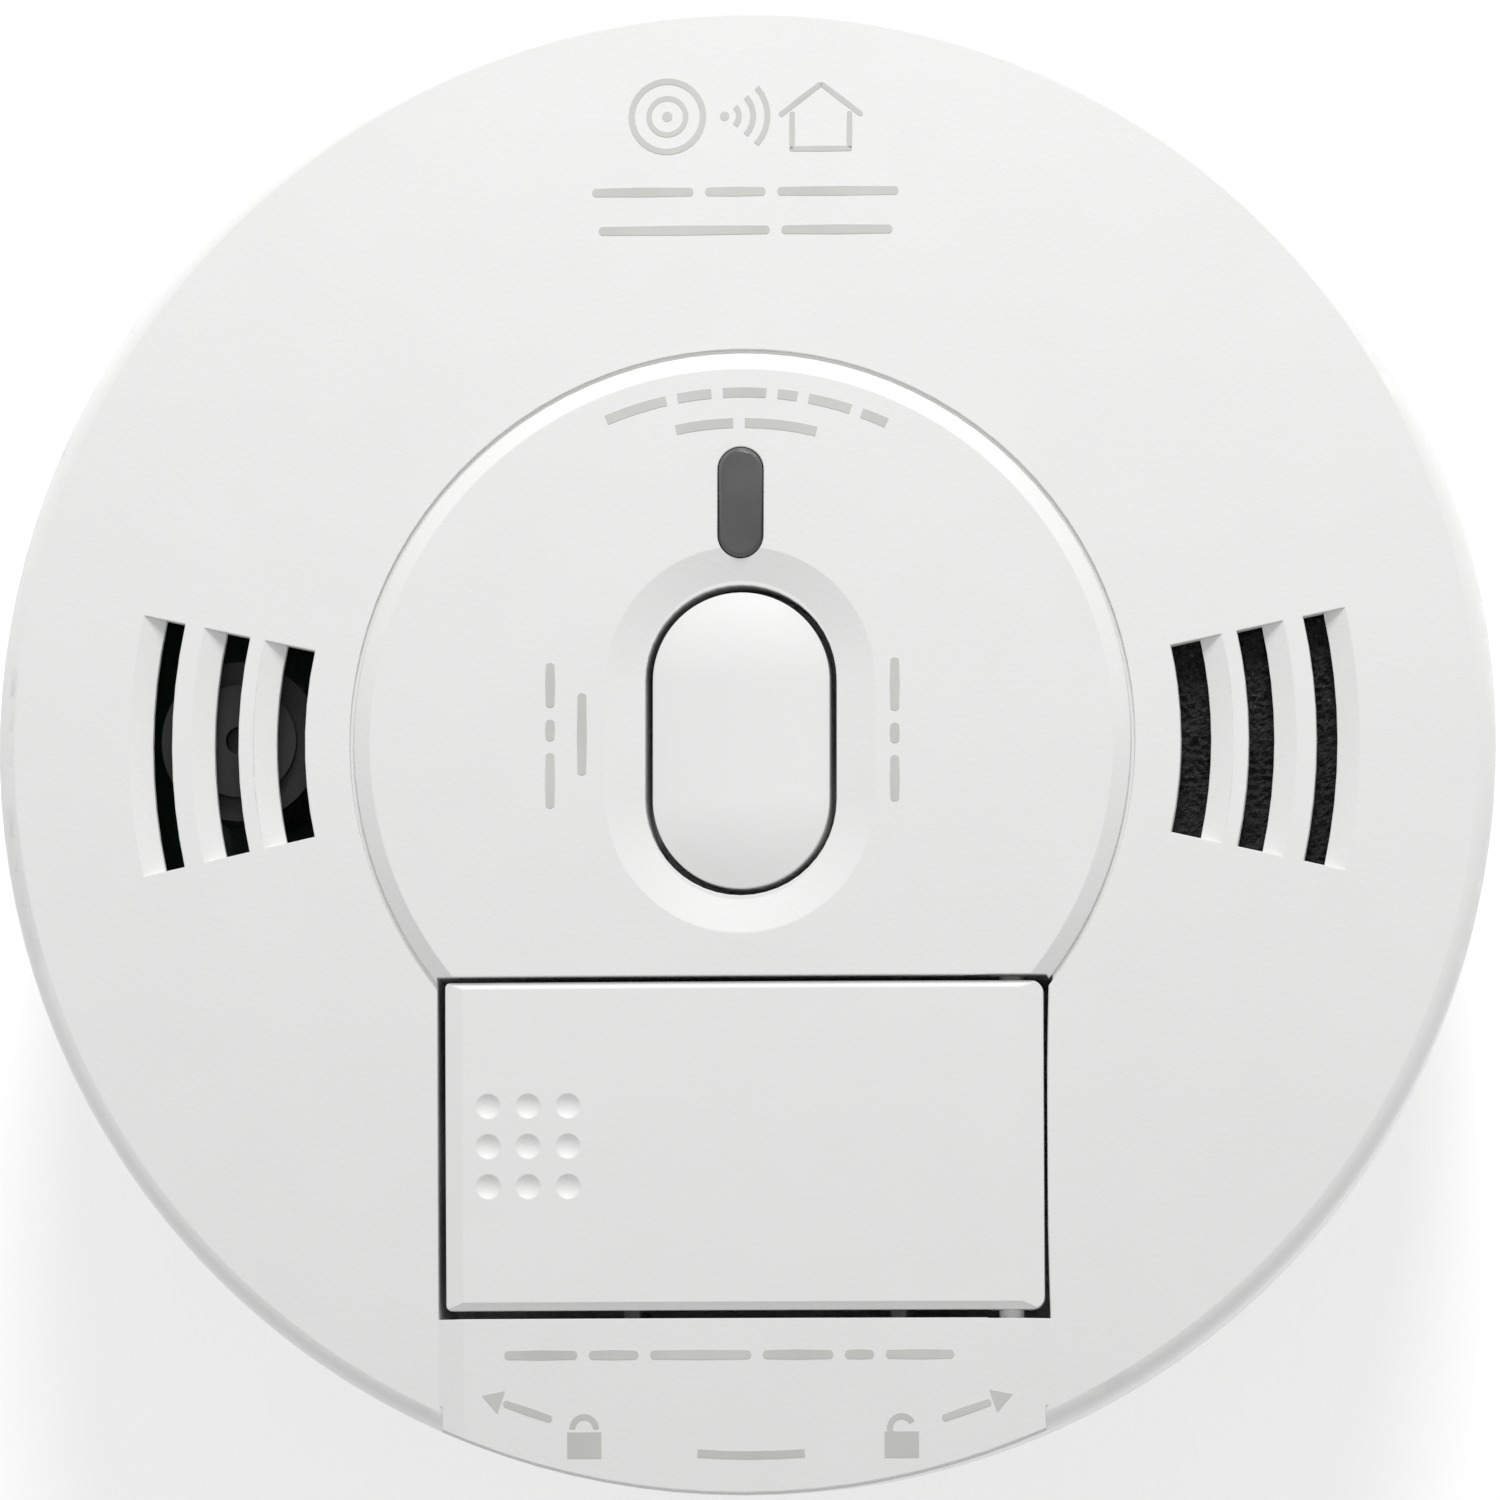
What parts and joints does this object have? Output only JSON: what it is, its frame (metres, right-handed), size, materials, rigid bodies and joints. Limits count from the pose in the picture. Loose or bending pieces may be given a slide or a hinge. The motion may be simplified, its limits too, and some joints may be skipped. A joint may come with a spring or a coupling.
{
  "type": "carbon monoxide detector",
  "caption": "Round battery-powered smoke and carbon monoxide alarm with side vents, a test button, a smoked indicator lens and a hinged battery door, on a twist-on bracket.",
  "frame": {"origin": "centre of the bracket's flat back, which lies on the wall or ceiling", "axes": "+Z out of the face; +Y up when it hangs on a wall, from the battery door towards the indicator; +X to the right seen from the front"},
  "size_m": [0.146, 0.146, 0.0456],
  "materials": {
    "white_plastic": "fine matt moulded",
    "shell_plastic": "fine matt moulded",
    "button_plastic": "satin moulded",
    "label_film": "satin film",
    "board_laminate": "satin solder mask",
    "black_plastic": "matt",
    "foam": "open-cell foam",
    "steel": "bright zinc",
    "can_steel": "tinned",
    "spring_steel": "bright",
    "brass": "polished",
    "lens_smoke": "clear smoked",
    "led_clear": "clear",
    "sleeve": "shrink sleeve",
    "winding": "enamelled copper wire",
    "resistor_body": "lacquer",
    "battery_jacket": "satin printed jacket",
    "sensor_body": "satin",
    "horn_plastic": "matt",
    "ink": "pad printed"
  },
  "bodies": {
    "bracket": {"mounting_bracket": "shell_plastic"},
    "button": {"test_button": "button_plastic"},
    "switch_plunger": {"switch_plunger": "button_plastic"},
    "door": {"battery_door": "white_plastic"},
    "latch": {"latch_plunger": "black_plastic"},
    "alarm": {"rear_housing": "shell_plastic", "front_cover": "white_plastic", "battery_tray": "shell_plastic", "housing_screws": "steel", "rating_label": "label_film", "circuit_board": "board_laminate", "board_screws": "steel", "ion_chamber_base": "horn_plastic", "source_holder": "brass", "collector_plate": "can_steel", "ion_chamber_can": "can_steel", "vent_screen": "foam", "co_sensor_body": "sensor_body", "co_sensor_cap": "black_plastic", "co_sensor_pins": "brass", "horn_housing": "horn_plastic", "horn_disc": "brass", "horn_cap": "horn_plastic", "horn_contacts": "brass", "light_pipe": "lens_smoke", "status_leds": "led_clear", "microcontroller": "black_plastic", "alarm_chip": "black_plastic", "capacitors": "sleeve", "inductor": "winding", "resistors": "resistor_body", "switch_body": "black_plastic", "button_spring": "spring_steel", "battery": "battery_jacket", "battery_terminals": "steel", "battery_contacts": "steel", "latch_housing": "shell_plastic", "latch_spring": "spring_steel"}
  },
  "joints": [
    {"name": "twist_mount", "type": "hinge", "parent": "bracket", "child": "alarm", "pos_m": [0, 0, 0], "axis": [0, 0, 1], "range_deg": [0, 15]},
    {"name": "button_press", "type": "slide", "parent": "alarm", "child": "button", "axis": [0, 0, -1], "range_m": [0, 0.001], "stiffness_N_per_m": 300, "springref_m": -0.003, "deforming": ["button_spring"]},
    {"name": "switch_press", "type": "slide", "parent": "alarm", "child": "switch_plunger", "axis": [0, 0, -1], "range_m": [0, 0.00025]},
    {"name": "door_hinge", "type": "hinge", "parent": "alarm", "child": "door", "pos_m": [0.02595, -0.03945, 0.0398], "axis": [0, 1, 0], "range_deg": [0, 65]},
    {"name": "latch_press", "type": "slide", "parent": "alarm", "child": "latch", "axis": [0, 0, -1], "range_m": [0, 0.001], "stiffness_N_per_m": 300, "springref_m": -0.003, "deforming": ["latch_spring"]}
  ],
  "couplings": [
    {"joint": "switch_press", "follows": "button_press", "ratio": 0.25}
  ]
}
